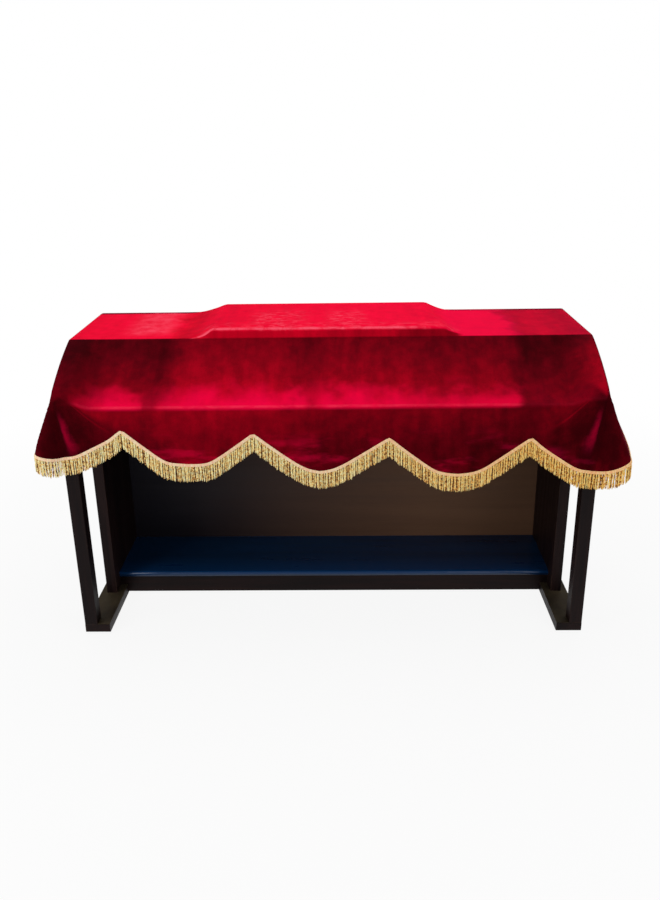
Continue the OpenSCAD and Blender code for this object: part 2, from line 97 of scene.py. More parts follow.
def fillIn(tree, node, inputs):
    for key, value in inputs.items():
        if isinstance(value, bpy.types.NodeSocket):
            tree.links.new(value, node.inputs[key])
        else:
            node.inputs[key].default_value = value
    return node


def makeNode(tree, kind, inputs=None, **settings):
    node = tree.nodes.new(kind)
    for name, value in settings.items():
        setattr(node, name, value)
    return fillIn(tree, node, inputs or {})


def maths(operation, first, *others, clamp=False):
    # from left to right where there are more than two values
    for other in others or (0.0,):
        tree = (first if isinstance(first, bpy.types.NodeSocket) else other).id_data
        node = makeNode(tree, "ShaderNodeMath", {0: first, 1: other}, operation=operation, use_clamp=clamp)
        first = node.outputs[0]
    return first


def plus(*values, clamp=False):
    return maths("ADD", *values, clamp=clamp)


def minus(first, second):
    return maths("SUBTRACT", first, second)


def times(*values):
    return maths("MULTIPLY", *values)


def most(*values):
    return maths("MAXIMUM", *values)


def without(mask):
    return minus(1.0, mask)


def fade(value, low, high, bottom=0.0, top=1.0):
    # runs smoothly from bottom to top while value goes from low to high
    node = makeNode(value.id_data, "ShaderNodeMapRange", {0: value, 1: low, 2: high, 3: bottom, 4: top},
                    interpolation_type="SMOOTHSTEP")
    return node.outputs[0]


def between(value, start, end):
    # 1 in the middle, fading in over start and out over end
    return times(fade(value, *start), fade(value, *end))


def blendColour(share, first, second, how="MIX"):
    first, second = ((*colour, 1) if isinstance(colour, tuple) else colour for colour in (first, second))
    node = makeNode(share.id_data, "ShaderNodeMix", {0: share, 6: first, 7: second}, data_type="RGBA",
                    blend_type=how)
    return node.outputs[2]


def mixValue(share, first, second):
    return makeNode(share.id_data, "ShaderNodeMix", {0: share, 2: first, 3: second}).outputs[0]


def ramp(value, stops, kind="EASE"):
    node = makeNode(value.id_data, "ShaderNodeValToRGB", {0: value})
    line = node.color_ramp
    line.interpolation = kind
    while len(line.elements) < len(stops):
        line.elements.new(0.5)
    for element, (place, colour) in zip(line.elements, stops):
        element.position = place
        element.color = (*colour, 1) if isinstance(colour, tuple) else (colour, colour, colour, 1)
    return node.outputs[0]


def noiseOf(vector, scale, detail=2.0, rough=0.5, distortion=0.0):
    inputs = {"Vector": vector, "Scale": scale, "Detail": detail, "Roughness": rough,
              "Distortion": distortion}
    return makeNode(vector.id_data, "ShaderNodeTexNoise", inputs).outputs[0]


def vectorMaths(operation, first, second=(0, 0, 0), result="Vector"):
    node = makeNode(first.id_data, "ShaderNodeVectorMath", {0: first, 1: second}, operation=operation)
    return node.outputs[result]


def stretched(vector, factors):
    return vectorMaths("MULTIPLY", vector, factors)


def bumpOf(height, strength, distance):
    return makeNode(height.id_data, "ShaderNodeBump",
                    {"Strength": strength, "Distance": distance, "Height": height}).outputs[0]


def objectPlace(tree):
    return makeNode(tree, "ShaderNodeTexCoord").outputs["Object"]


def trueNormal(tree):
    return makeNode(tree, "ShaderNodeNewGeometry").outputs["Normal"]


def partsOf(vector):
    return makeNode(vector.id_data, "ShaderNodeSeparateXYZ", {0: vector}).outputs


def newMaterial(name):
    material = bpy.data.materials.new(name)
    material.use_nodes = True
    material.node_tree.nodes.clear()
    return material, material.node_tree


def surface(tree, **sockets):
    inputs = {name.replace("_", " "): value for name, value in sockets.items()}
    node = makeNode(tree, "ShaderNodeBsdfPrincipled", inputs)
    makeNode(tree, "ShaderNodeOutputMaterial", {"Surface": node.outputs[0]})


def newGroup(name, numbers, *outputs):
    # takes a position and the given numbers, and puts out masks
    group = bpy.data.node_groups.new(name, "ShaderNodeTree")
    group.interface.new_socket("Position", in_out="INPUT", socket_type="NodeSocketVector")
    for socketName, value in numbers.items():
        socket = group.interface.new_socket(socketName, in_out="INPUT", socket_type="NodeSocketFloat")
        socket.default_value = value
    for socketName in outputs:
        group.interface.new_socket(socketName, in_out="OUTPUT", socket_type="NodeSocketFloat")
    return group, group.nodes.new("NodeGroupInput").outputs, group.nodes.new("NodeGroupOutput").inputs


def useGroup(tree, group, inputs):
    node = tree.nodes.new("ShaderNodeGroup")
    node.node_tree = group
    return fillIn(tree, node, inputs).outputs


# effects that several finishes share

def makeWoodGrain():
    # Position has its long axis shortened, so everything here runs along the board
    numbers = {"Figure Scale": 14.0, "Pore Scale": 420.0}
    group, given, made = newGroup("woodGrain", numbers, "Figure", "Streaks", "Pores")
    place = given["Position"]
    group.links.new(noiseOf(place, given["Figure Scale"], 3, 0.55, 1.4), made["Figure"])
    group.links.new(noiseOf(place, times(given["Figure Scale"], 6.0), 4, 0.6, 0.3), made["Streaks"])
    group.links.new(fade(noiseOf(place, given["Pore Scale"], 1), 0.60, 0.72), made["Pores"])
    return group


def makeEdgeWearAndHighlight():
    # compares the true normal with one rounded over Width; broken up by noise. It marks worn edges, and on
    # the shelf a painted highlight along its nosing
    group, given, made = newGroup("edgeWearAndHighlight", {"Width": 0.004, "Break Up": 28.0}, "WearAndHighlight")
    rounded = makeNode(group, "ShaderNodeBevel", {"Radius": given["Width"]}, samples=4).outputs[0]
    near = vectorMaths("DOT_PRODUCT", rounded, trueNormal(group), "Value")
    patches = noiseOf(given["Position"], given["Break Up"], 4, 0.65)
    group.links.new(times(fade(near, 0.985, 0.86), fade(patches, 0.45, 0.66)), made["WearAndHighlight"])
    return group


def makeDustAndLitTops():
    # lighter colour on faces that look up: dust, and on the dark frame also a painted light on its tops
    group, given, made = newGroup("dustAndLitTops", {"Amount": 0.3}, "DustAndLitTops")
    flat = fade(partsOf(trueNormal(group))[2], 0.55, 0.98)
    patches = fade(noiseOf(given["Position"], 9.0, 5, 0.6), 0.3, 0.75, 0.35, 1.0)
    group.links.new(times(flat, patches, given["Amount"]), made["DustAndLitTops"])
    return group


woodGrain = makeWoodGrain()
edgeWearAndHighlight = makeEdgeWearAndHighlight()
dustAndLitTops = makeDustAndLitTops()


# wood, nylon and steel

woodFinishes = {
    "espresso": {
        "dark": (0.0048, 0.0022, 0.0024), "light": (0.0140, 0.0062, 0.0058), "wornAndHighlight": (0.060, 0.030, 0.020),
        # the frame's khaki on faces that look up is partly dust, partly a painted light on its tops
        "dustAndLight": (0.140, 0.110, 0.060), "dustAndLightAmount": 0.42, "rough": 0.46,
        "gloss": 0.10, "figure": 13.0, "pores": 430.0, "relief": 0.10,
    },
    "shelfFinish": {
        # the shelf's bright blue worn colour is a painted highlight along its nosing
        "dark": (0.0012, 0.0120, 0.0400), "light": (0.0018, 0.0250, 0.0800), "wornAndHighlight": (0.012, 0.120, 0.330),
        # drift paints the shelf's front a brighter blue, a painted light
        "drift": {"axis": 1, "face": (0, -0.4, 1), "from": -0.034, "to": 0.09,
                  "colour": (0.0012, 0.032, 0.115)},
        "dustAndLight": (0.010, 0.045, 0.100), "dustAndLightAmount": 0.10, "rough": 0.30, "coat": 0.10,
        "gloss": 0.3, "figure": 9.0, "pores": 400.0, "relief": 0.06,
    },
    "backVeneer": {
        "dark": (0.112, 0.056, 0.031), "light": (0.138, 0.069, 0.038), "wornAndHighlight": (0.13, 0.085, 0.055),
        # drift paints the back panel darker towards the left, a painted shade
        "drift": {"axis": 0, "face": (0, -1, 0), "from": -0.62, "to": 0.62, "colour": (0.008, 0.0065, 0.011)},
        "dustAndLight": (0.16, 0.14, 0.11), "dustAndLightAmount": 0.1, "rough": 0.5,
        "gloss": 0.15, "figure": 6.0, "pores": 380.0, "relief": 0.08,
    },
    "secondaryWood": {
        "dark": (0.25, 0.145, 0.070), "light": (0.46, 0.31, 0.18), "wornAndHighlight": (0.52, 0.38, 0.24),
        "dustAndLight": (0.35, 0.30, 0.24), "dustAndLightAmount": 0.25, "rough": 0.68,
        "gloss": 0.3, "figure": 12.0, "pores": 330.0, "relief": 0.22,
    },
}


def woodMaterial(finish, axis):
    look = woodFinishes[finish]
    material, tree = newMaterial(f"{finish}Along{'XYZ'[axis]}")
    place = objectPlace(tree)
    along = [1.0, 1.0, 1.0]
    along[axis] = 0.055   # grain is this much longer than it is wide
    grain = useGroup(tree, woodGrain, {"Position": stretched(place, along), "Figure Scale": look["figure"],
                                       "Pore Scale": look["pores"]})
    wearAndHighlight = useGroup(tree, edgeWearAndHighlight, {"Position": place})["WearAndHighlight"]
    dustAndLight = useGroup(tree, dustAndLitTops, {"Position": place, "Amount": look["dustAndLightAmount"]})["DustAndLitTops"]
    tone = plus(times(grain["Figure"], 0.55), times(grain["Streaks"], 0.45))
    colour = blendColour(fade(tone, 0.36, 0.64), look["dark"], look["light"])
    colour = blendColour(times(grain["Pores"], 0.55), colour, look["dark"])
    # painted light and shade across the face that shows: the back panel darker to the left, the shelf
    # brighter towards its front
    if "drift" in look:   # a slow change of tone across the face that shows
        drift = look["drift"]
        facing = vectorMaths("DOT_PRODUCT", trueNormal(tree), drift["face"], "Value")
        share = times(fade(partsOf(place)[drift["axis"]], drift["from"], drift["to"], 1.0, 0.0),
                      fade(facing, 0.2, 0.8))
        colour = blendColour(share, colour, drift["colour"])
    # worn edges, and on the shelf a painted highlight along the nosing
    colour = blendColour(times(wearAndHighlight, 0.8), colour, look["wornAndHighlight"])
    # dust on faces that look up, on the dark frame partly a painted light
    colour = blendColour(dustAndLight, colour, look["dustAndLight"])
    rough = plus(fade(grain["Streaks"], 0.3, 0.7, look["rough"] - 0.05, look["rough"] + 0.07),
                 times(plus(dustAndLight, wearAndHighlight), 0.4), clamp=True)
    height = minus(times(grain["Streaks"], 0.5), grain["Pores"])
    surface(tree, Base_Color=colour, Roughness=rough, Normal=bumpOf(height, look["relief"], 0.0006),
            Coat_Weight=look.get("coat", 0.0), Coat_Roughness=0.2, Specular_IOR_Level=look["gloss"])
    return material


def nylonMaterial():
    material, tree = newMaterial("glideNylon")
    mottle = noiseOf(objectPlace(tree), 240.0, 3)
    colour = blendColour(fade(mottle, 0.3, 0.7), (0.028, 0.026, 0.024), (0.05, 0.047, 0.043))
    surface(tree, Base_Color=colour, Roughness=0.55, Normal=bumpOf(mottle, 0.15, 0.0004))
    return material


def boltMaterial():
    material, tree = newMaterial("boltSteel")
    turned = noiseOf(stretched(objectPlace(tree), (0.2, 1, 1)), 900.0, 2)
    colour = blendColour(fade(turned, 0.3, 0.7), (0.50, 0.45, 0.34), (0.68, 0.64, 0.54))
    surface(tree, Base_Color=colour, Roughness=fade(turned, 0.3, 0.7, 0.28, 0.42), Metallic=1.0)
    return material


woodUse = {   # finish and grain axis of each node: 0 along the table, 1 front to back, 2 upright
    "espresso": {
        0: ["front_apron", "shelf_front_rail"],
        1: ["left_runner", "right_runner", "left_cheek", "right_cheek"],
        2: ["left_front_leg", "right_front_leg", "left_side_panel", "right_side_panel"],
    },
    "shelfFinish": {0: ["shelf_board"]},
    "backVeneer": {0: ["back_panel"]},
    "secondaryWood": {
        0: ["ledge_board", "ledge_bearer", "slope_board", "deck_board", "deck_front_bearer", "back_top_rail",
            "back_bottom_rail", "riser_board"],
        1: ["slope_cleats", "shelf_bearers", "shelf_end_cleats", "riser_battens", "cheek_dowels"],
        2: ["back_muntin", "corner_blocks"],
    },
}
easedEdge = 0.0009   # the softened arris on every wooden edge


def dressNode(name, material, ease=None):
    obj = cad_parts[name]
    for slot in obj.material_slots:
        slot.material = material
    if ease:
        weld = obj.modifiers.new("weld", "WELD")
        weld.merge_threshold = 1e-6
        bevel = obj.modifiers.new("easedEdge", "BEVEL")
        bevel.width = ease
        bevel.segments = 2
        bevel.limit_method = "ANGLE"
        bevel.angle_limit = math.radians(40)
        bevel.harden_normals = True


for finish, byAxis in woodUse.items():
    for axis, names in byAxis.items():
        wood = woodMaterial(finish, axis)
        for name in names:
            dressNode(name, wood, easedEdge if name != "cheek_dowels" else None)
dressNode("floor_glides", nylonMaterial())
bolts = boltMaterial()
dressNode("connector_bolts", bolts)
dressNode("barrel_nuts", bolts)
report("wood, nylon and steel dressed")


# the cloth's cut and the way it hangs

# laid flat, s runs across from the table's middle and t back from the deck's front edge
cut = {
    "front": 0.437, "back": 0.178, "left": 0.162, "right": 0.180,   # from the deck to the hem's longest point
    "lift": [(-0.74, 0.010), (-0.56, 0.006), (-0.39, 0.015), (-0.19, 0.002), (0.0, 0.0), (0.36, 0.0),
             (0.55, 0.006), (0.74, 0.0)],   # where the front hem is cut shorter
    "drift": 0.040,          # the middle cusps stand this share of a scallop to the left
    "feet": [(0.33, 0.14), (0.33, 0.14), (0.20, 0.20), (0.30, 0.15)],   # how flat and how soft each middle is
    "scallops": (4, 0.103), "endScallops": (2, 0.072),   # how many and how deep
    "askew": -1.55,          # degrees, the cloth lies a little turned on the table
    "step": 0.006,           # along the hem
}
hang = {
    "air": 0.0018, "thickness": 0.0022,
    "rounding": 0.0030,      # how far a fold over an edge spreads
    "bridgeSag": 0.004,
    "riserLip": (0.018, 0.88),   # how far past the riser's front it folds, and at what share of its height
    "riserFall": {"left": (0.085, 0.140), "right": (0.070, 0.105)},   # width at the riser's front and back
    "riserBridge": 0.028,    # the cloth runs straight on past the riser's right front corner
    "riserCurve": 1.9,       # how hollow the fall beside the riser is
    "cheekClimb": (0.058, 0.062),   # where the front fold starts to climb a cheek, and over what width
    "noseSpread": 0.70,      # how the pull of a nose widens down the front fall
    "frontLean": (2.5, 8.0), "backLean": (5.0, 9.0),   # degrees, in the middle and at the corners
    "fan": (-22.0, 112.0),   # the flat angles between which a corner hangs as a cone
    "fanBlend": 18.0, "fanPast": 3.6,   # degrees over which the cone takes over, and how early that starts
    "endLean": [21, 18, 15, 11, 20],   # degrees, from under the nose to the back corner
    # height, how close across and down, and seed of the slow unevenness
    "fallSwells": [(0.0085, 7.0, 1.6, 4.2), (0.0022, 19.0, 5.0, 9.7)],
    "slopeSwells": [(0.0020, 3.0, 14.0, 2.9)], "lowest": -0.0004,
    # turn, length, height and width of the fine lines that fan out from each nose across the front fall
    "drawnLines": [(-61, 0.21, 0.0026, 0.0060), (-43, 0.17, 0.0018, 0.0075), (-16, 0.16, 0.0045, 0.0110),
                   (30, 0.16, 0.0030, 0.014)],
    # ways down round each corner, as (out past the end, out past the long edge, down)
    "frontRidge": [(-0.08, 0.13, 0.985), (0.10, 0.22, 0.97), (0.32, 0.19, 0.93), (0.37, 0.02, 0.93)],
    "backRidge": [(-0.06, 0.18, 0.98), (0.10, 0.32, 0.94), (0.28, 0.27, 0.92), (0.36, 0.10, 0.92)],
}
deckHalf = deck["right"]
deckDepth = deck["back"] - deck["front"]
riserFront = riser["front"] - deck["front"]
riserFoldT = riserFront - hang["riserLip"][0]


def smooth(x):
    x = np.clip(x, 0, 1)
    return x * x * (3 - 2 * x)


def through(x, places, values):
    # a smooth line through the given values
    places, values = np.asarray(places, float), np.asarray(values, float)
    slopes = np.gradient(values, places, axis=0)
    k = np.clip(np.searchsorted(places, x) - 1, 0, len(places) - 2)
    gap = places[k + 1] - places[k]
    u = np.clip((x - places[k]) / gap, 0, 1)
    if values.ndim > 1:
        u, gap = u[:, None], gap[:, None]
    return ((1 + 2 * u) * (1 - u) ** 2 * values[k] + u * (1 - u) ** 2 * gap * slopes[k]
            + u * u * (3 - 2 * u) * values[k + 1] + u * u * (u - 1) * gap * slopes[k + 1])


def runAlong(points):
    # how far it is to each point of a line from its start
    return np.concatenate([[0], np.cumsum(np.linalg.norm(np.diff(points, axis=0), axis=1))])


def cheekRake():
    # the top edge of a cheek, from the deck down to the foremost point of its nose
    points = np.array([v.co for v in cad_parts["right_cheek"].data.vertices])
    onNose = points[np.abs(points[:, 1] - cheek["front"]) < 0.0006]
    outside = points[(points[:, 0] > cheek["right"] - 1e-4) & (points[:, 2] >= onNose[:, 2].max() - 1e-5)]
    line = {}
    for _, y, z in outside:
        line[round(y, 5)] = max(z, line.get(round(y, 5), 0))
    return np.array(sorted(line.items(), reverse=True))


rake = cheekRake()
rakeAt = runAlong(rake)
rakeLength = rakeAt[-1]
noseZ = rake[-1, 1]
roundedAway = (0.006, 0.012)   # of the rake's run and fall, taken by its round nose
rakeRun, rakeFall = rake[0] - rake[-1] - roundedAway
rakeAngle = math.degrees(math.atan2(rakeFall, rakeRun))
bridgeLength = math.hypot(deck["front"] - ledge["front"], deck["top"] - ledge["top"])


def turnedBy(degrees):
    turn = math.radians(degrees)
    return np.array([[math.cos(turn), math.sin(turn)], [-math.sin(turn), math.cos(turn)]])


def cusp(run):
    # 0 in the middle of a scallop and 1 at the point between two
    flat, soft = cut["feet"][round(run) % len(cut["feet"])]

    def rise(x):
        return x - flat + math.hypot(x - flat, soft)

    return (rise(abs(2 * (run - round(run)))) - rise(0)) / (rise(1) - rise(0))


def hemCut(outset=0.0):
    # the cut edge, anticlockwise from the front left; outset moves it outwards
    lifts = np.array(cut["lift"]).T
    front = cut["front"] - rakeLength
    falls = [front, cut["right"], cut["back"], cut["left"], front - lifts[1, 0]]
    corners = [(-deckHalf, -rakeLength), (deckHalf, -rakeLength), (deckHalf, deckDepth),
               (-deckHalf, deckDepth)]
    points = []
    for side, (outS, outT) in enumerate([(0, -1), (1, 0), (0, 1), (-1, 0)]):
        (startS, startT), (endS, endT) = corners[side], corners[(side + 1) % 4]
        fall, nextFall = falls[side], falls[side + 1]
        bumps, depth = cut["endScallops"] if side % 2 else cut["scallops"]
        count = int(math.hypot(endS - startS, endT - startT) / cut["step"])
        for i in range(count):
            share = i / count
            drift = max(0.0, math.sin(math.pi * (share * bumps - 0.5) / (bumps - 1)))
            reach = fall - depth * cusp(share * bumps + (0 if side % 2 else cut["drift"] * drift))
            s, t = startS + (endS - startS) * share, startT + (endT - startT) * share
            lift = through(np.array([s]), *lifts)[0] if side == 0 else 0
            points.append((s + outS * reach, t + outT * reach + lift))
        count = int((fall + nextFall) / 2 * math.pi / 2 / cut["step"])
        for i in range(count):
            angle = math.radians(90 * (side - 1 + i / count))
            reach = fall + (nextFall - fall) * smooth(i / count)
            points.append((endS + reach * math.cos(angle), endT + reach * math.sin(angle)))
    points = np.array(points) @ turnedBy(cut["askew"])
    along = np.roll(points, -1, axis=0) - np.roll(points, 1, axis=0)
    along /= np.linalg.norm(along, axis=1)[:, None]
    return points + outset * np.stack([along[:, 1], -along[:, 0]], 1)


def endLean(t):
    # the ends stand out most under the nose, the deck's front corner and the back corner
    return np.radians(through(t, [-rakeLength, -0.12, 0.01, 0.17, deckDepth], hang["endLean"]))


def downwards(out, forward, down):
    vector = np.array([out, forward, down], float)
    return vector / np.linalg.norm(vector)


def coneOf(firstLean, secondLean, slant, ridge):
    # unit directions round a corner, by flat angle
    first, second, back = (math.radians(angle) for angle in (firstLean, secondLean, slant))
    across = downwards(math.sin(second), -math.cos(second) * math.sin(back),
                       math.cos(second) * math.cos(back))
    edge = np.array([0, -math.cos(back), -math.sin(back)])

    def overLong(a):
        return downwards(math.sin(a), math.cos(a) * math.sin(first), math.cos(a) * math.cos(first))

    def overEnd(a):
        return math.cos(a) * across + math.sin(a) * edge

    low, high = (math.radians(a) for a in hang["fan"])
    beyond = 0.35   # radians, so that the line is smooth at both ends of the fan
    keys = np.array([overLong(low - beyond), overLong(low)] + [downwards(*way) for way in ridge]
                    + [overEnd(high - math.pi / 2), overEnd(high - math.pi / 2 + beyond)])
    steps = runAlong(keys)
    path = through(np.linspace(steps[1], steps[-2], 200), steps, keys)
    path /= np.linalg.norm(path, axis=1)[:, None]
    run = runAlong(path)
    return run / run[-1], path


# which way is out, the corner's place on the flat cloth and in space, and its cone
hungCorners = [
    (-1, -rakeLength, ledge["front"], noseZ,
     coneOf(hang["frontLean"][1], hang["endLean"][0], rakeAngle, hang["frontRidge"])),
    (1, deckDepth, deck["back"], deck["top"],
     coneOf(hang["backLean"][1], hang["endLean"][-1], 0, hang["backRidge"])),
]


def riserShare(s, t):
    # 1 on the riser, falling to the deck round it
    back = riser["back"] - deck["front"]
    along = np.interp(t, [0, riserFoldT, riserFront, back, deckDepth], [0, hang["riserLip"][1], 1, 1, 0])
    depth = np.clip((t - riserFront) / (back - riserFront), 0, 1)
    share = np.ones_like(along)
    for side, sign in (("left", -1), ("right", 1)):
        near, far = hang["riserFall"][side]
        bridge = hang["riserBridge"] * smooth(1 - depth / 0.5) if side == "right" else 0
        beyond = sign * (s - riser[side]) - bridge
        height = np.clip(1 - beyond / (near + (far - near) * depth), 0, 1)
        share = np.minimum(share, height ** hang["riserCurve"])
    return along * share


def edgeLine(s, spread=0.0):
    # where the cloth turns down at the front: its flat distance from the deck, its height, and the share of
    # the cheek in it (0 over the ledge, 1 over the cheek)
    before, wide = hang["cheekClimb"]
    share = smooth((np.abs(s) - (cheek["left"] - before - spread)) / (wide + spread))
    length = bridgeLength + (rakeLength - bridgeLength) * share
    return length, ledge["top"] + (noseZ - ledge["top"]) * share, share


def panelPoint(s, t):
    # the cloth without its corners: top, slope, and the four straight falls
    side = np.sign(s)
    within = np.minimum(np.abs(s), deckHalf)
    length, _, share = edgeLine(within)
    onTop = np.clip(t, -length, deckDepth)
    u = np.clip(-onTop / length, 0, 1)
    chordY = deck["front"] + (ledge["front"] - deck["front"]) * u
    chordZ = deck["top"] + (ledge["top"] - deck["top"]) * u - hang["bridgeSag"] * 4 * u * (1 - u)
    rakeY = np.interp(u * rakeLength, rakeAt, rake[:, 0])
    rakeZ = np.interp(u * rakeLength, rakeAt, rake[:, 1])
    x = side * within
    y = np.where(onTop >= 0, deck["front"] + onTop, chordY + (rakeY - chordY) * share)
    z = np.where(onTop >= 0, deck["top"] + (riser["top"] - deck["top"]) * riserShare(x, onTop),
                 chordZ + (rakeZ - chordZ) * share)
    nearEnd = smooth((within - 0.42) / (deckHalf - 0.42))
    below = np.maximum(-length - t, 0)
    lowerLength, lowerZ, _ = edgeLine(within, hang["noseSpread"] * below)
    z = np.where(below > 0, lowerZ, z)
    below = np.where(below > 0, -lowerLength - t, 0)
    behind = np.maximum(t - deckDepth, 0)
    for way, fallen, (middle, end) in ((-1, below, hang["frontLean"]), (1, behind, hang["backLean"])):
        lean = np.radians(middle + (end - middle) * nearEnd)
        y = y + way * fallen * np.sin(lean)
        z = z - fallen * np.cos(lean)
    beyond = np.abs(s) - within
    tilt = endLean(np.clip(t, -rakeLength, deckDepth))
    slant = np.radians(rakeAngle) * smooth((0.07 - t) / 0.25)
    x = x + side * beyond * np.sin(tilt)
    y = y + beyond * np.cos(tilt) * np.sin(slant)
    z = z - beyond * np.cos(tilt) * np.cos(slant)
    return np.stack([x, y, z], -1)


def cornerPoint(s, t, way, apexT, apexY, apexZ, cone):
    # the cone that hangs from a corner, and how much of it there is at this place
    out, away = np.abs(s) - deckHalf, way * (t - apexT)
    reach = np.hypot(out, away)
    angle = np.degrees(np.arctan2(out, away))
    low, high = hang["fan"]
    share = np.clip((angle - low) / (high - low), 0, 1)
    where, path = cone
    heading = np.stack([np.interp(share, where, path[:, k]) for k in range(3)], -1)
    x = np.sign(s) * (deckHalf + reach * heading[:, 0])
    y = apexY + way * reach * heading[:, 1]
    z = apexZ - reach * heading[:, 2]
    past, blend = hang["fanPast"], hang["fanBlend"]
    weight = smooth((angle - low + past) / blend) * smooth((high - angle + past) / blend)
    return np.stack([x, y, z], -1), weight


def hungPoint(s, t):
    point = panelPoint(s, t)
    for corner in hungCorners:
        coned, weight = cornerPoint(s, t, *corner)
        point = point + (coned - point) * weight[:, None]
    return point


def wander(s, t):
    # slow unevenness of the hanging parts, mostly as upright swells, and a few shallow ones on the slope
    below = np.maximum(np.maximum(-t - bridgeLength, t - deckDepth), np.abs(s) - deckHalf)
    falls = smooth(below / 0.12)
    slope = smooth(-t / 0.05) * smooth((t + bridgeLength) / 0.05) * smooth((deckHalf - np.abs(s)) / 0.08)

    def swells(kinds):
        return sum(height * np.array([noise.noise((a * across, b * down, seed)) for a, b in zip(s, t)])
                   for height, across, down, seed in kinds)

    return falls * swells(hang["fallSwells"]) + slope * swells(hang["slopeSwells"])


def tensionFolds(s, t):
    lift = np.zeros_like(s)
    out, away = np.abs(s) - deckHalf, -rakeLength - t
    for angle, length, height, width in hang["drawnLines"]:
        turn = math.radians(angle)
        along = out * math.sin(turn) + away * math.cos(turn)
        across = out * math.cos(turn) - away * math.sin(turn)
        spread = width * (0.5 + 1.2 * np.clip(along / length, 0, 1.5))
        shown = smooth(along / 0.03) * smooth((length * 1.35 - along) / 0.09)
        lift += height * np.exp(-(across / spread) ** 2) * shown
    return lift


def drape(flat, offset=0.0):
    # where points of the flat cloth come to lie; offset is measured outwards from its underside
    s, t = flat[:, 0], flat[:, 1]
    reach = hang["rounding"]
    around = [(a, b, (2 - abs(a)) * (2 - abs(b))) for a in (-1, 0, 1) for b in (-1, 0, 1)]
    point = sum(w * hungPoint(s + a * reach, t + b * reach) for a, b, w in around) / 16
    step = 0.002
    acrossS = hungPoint(s + step, t) - hungPoint(s - step, t)
    acrossT = hungPoint(s, t + step) - hungPoint(s, t - step)
    normal = np.cross(acrossS, acrossT)
    normal /= np.linalg.norm(normal, axis=1)[:, None]
    lift = hang["air"] + offset + np.maximum(wander(s, t) + tensionFolds(s, t), hang["lowest"])
    return point + normal * lift[:, None], normal


# the flat cloth as a mesh

mesh = {"spacing": 0.0090, "creaseRow": 0.0035}


def linesBetween(keys, spacing):
    lines = []
    for a, b in zip(keys, keys[1:]):
        count = max(1, round((b - a) / spacing))
        lines += [a + (b - a) * k / count for k in range(count)]
    return lines + [keys[-1]]


def besideEach(keys, gap):
    return sorted(k + g for k in keys for g in (-gap, 0, gap))


def flatCloth():
    ring = hemCut()
    low, high = ring.min(axis=0), ring.max(axis=0)
    spacing = mesh["spacing"]
    creaseT = [-bridgeLength, 0, riserFoldT, deckDepth]
    rows = linesBetween([low[1]] + besideEach(creaseT, mesh["creaseRow"]) + [high[1]], spacing * 0.9)
    ends = besideEach([-deckHalf, deckHalf], mesh["creaseRow"])
    columns = linesBetween([low[0]] + ends + [high[0]], spacing)
    grid = np.array([(s, t) for t in rows for s in columns])
    x, y = grid[:, 0], grid[:, 1]
    inside = np.zeros(len(grid), bool)
    clear = np.ones(len(grid), bool)
    for (x0, y0), (x1, y1) in zip(ring, np.roll(ring, -1, axis=0)):
        crosses = (y0 > y) != (y1 > y)
        with np.errstate(divide="ignore", invalid="ignore"):
            inside ^= crosses & (x < x0 + (y - y0) * (x1 - x0) / (y1 - y0))
        along = np.array([x1 - x0, y1 - y0])
        u = np.clip(((x - x0) * along[0] + (y - y0) * along[1]) / (along @ along), 0, 1)
        clear &= np.hypot(x - x0 - u * along[0], y - y0 - u * along[1]) > spacing * 0.45
    points = [Vector(p) for p in ring] + [Vector(p) for p in grid[inside & clear]]
    found = delaunay_2d_cdt(points, [], [list(range(len(ring)))], 1, 1e-6)
    return np.array([tuple(v) for v in found[0]]), found[2]


def addMesh(name, points, faces, uv=None, uvName="flat"):
    data = bpy.data.meshes.new(name)
    data.from_pydata([tuple(p) for p in points], [], faces)
    if uv is not None:
        layer = data.uv_layers.new(name=uvName)
        corner = np.empty(len(data.loops), dtype=np.int32)
        data.loops.foreach_get("vertex_index", corner)
        layer.data.foreach_set("uv", np.asarray(uv, np.float32)[corner].ravel())
    data.shade_smooth()
    data.update()
    obj = bpy.data.objects.new(name, data)
    scene.collection.objects.link(obj)
    return obj


flat, faces = flatCloth()
points, _ = drape(flat)
velvet = addMesh("velvetDrape", points, faces, flat)
body = velvet.modifiers.new("body", "SOLIDIFY")
body.thickness = hang["thickness"]
body.offset = 1.0
report(f"velvet hung, {len(points)} points")
